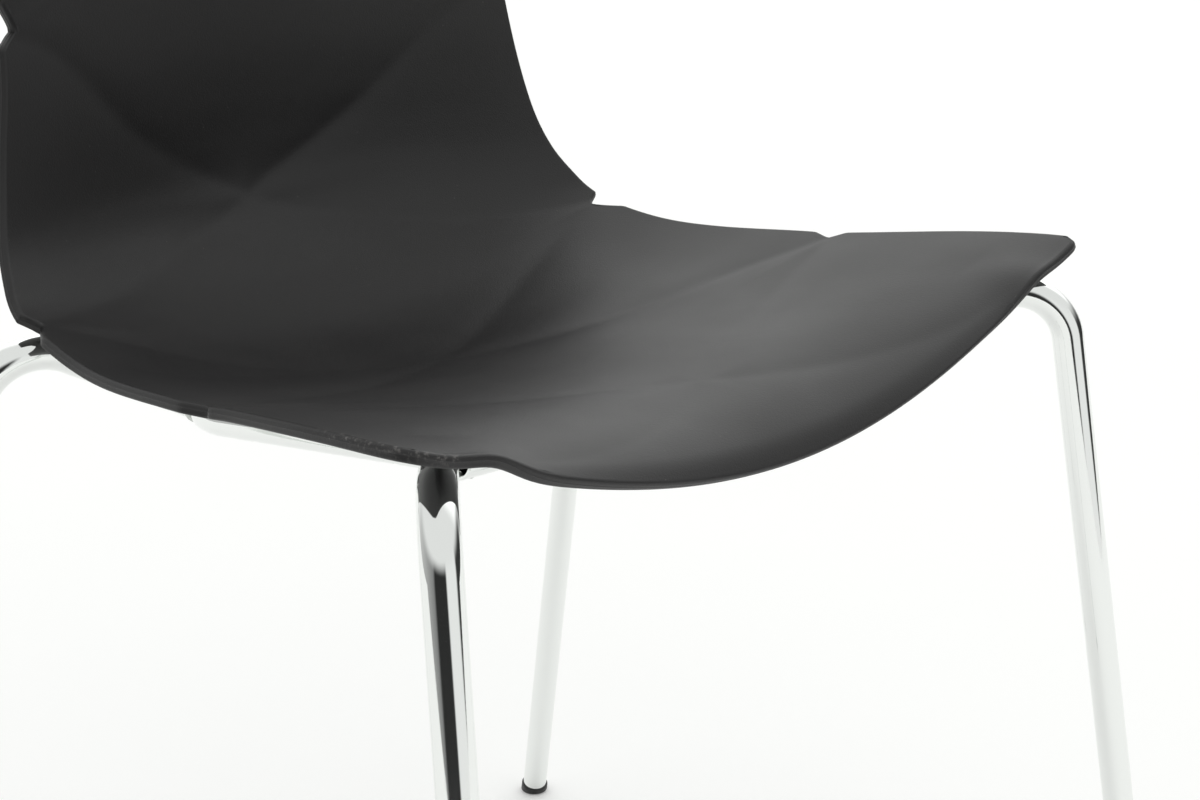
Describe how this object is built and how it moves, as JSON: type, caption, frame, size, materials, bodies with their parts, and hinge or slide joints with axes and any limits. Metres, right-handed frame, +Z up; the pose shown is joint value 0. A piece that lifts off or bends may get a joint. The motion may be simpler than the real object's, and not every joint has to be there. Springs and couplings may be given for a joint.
{
  "type": "stacking chair",
  "caption": "Stacking chair: a moulded plastic bucket shell, notched at its edges, screwed to a welded frame of chromed steel tube with splayed legs and plastic glides.",
  "frame": {"origin": "on the floor, under the middle of the chair's bounding box", "axes": "+Z up, +X to the right-hand side as seen from the front, the chair faces -Y"},
  "size_m": [0.5316, 0.4957, 0.806],
  "materials": {
    "shell_polypropylene": "matt black, fine moulded grain",
    "chrome_tube": "bright chrome plating",
    "screw_zinc": "zinc plated",
    "insert_brass": "turned brass",
    "washer_nylon": "black moulded nylon",
    "glide_nylon": "black moulded nylon"
  },
  "bodies": {
    "root": {"seat_shell": "shell_polypropylene", "leg_front_left": "chrome_tube", "leg_front_right": "chrome_tube", "leg_rear_left": "chrome_tube", "leg_rear_right": "chrome_tube", "seat_loop": "chrome_tube", "front_cross_tube": "chrome_tube", "threaded_insert_front_left": "insert_brass", "saddle_washer_front_left": "washer_nylon", "shell_screw_front_left": "screw_zinc", "glide_front_left": "glide_nylon", "threaded_insert_front_right": "insert_brass", "saddle_washer_front_right": "washer_nylon", "shell_screw_front_right": "screw_zinc", "glide_front_right": "glide_nylon", "threaded_insert_rear_left": "insert_brass", "saddle_washer_rear_left": "washer_nylon", "shell_screw_rear_left": "screw_zinc", "glide_rear_left": "glide_nylon", "threaded_insert_rear_right": "insert_brass", "saddle_washer_rear_right": "washer_nylon", "shell_screw_rear_right": "screw_zinc", "glide_rear_right": "glide_nylon"}
  },
  "joints": []
}
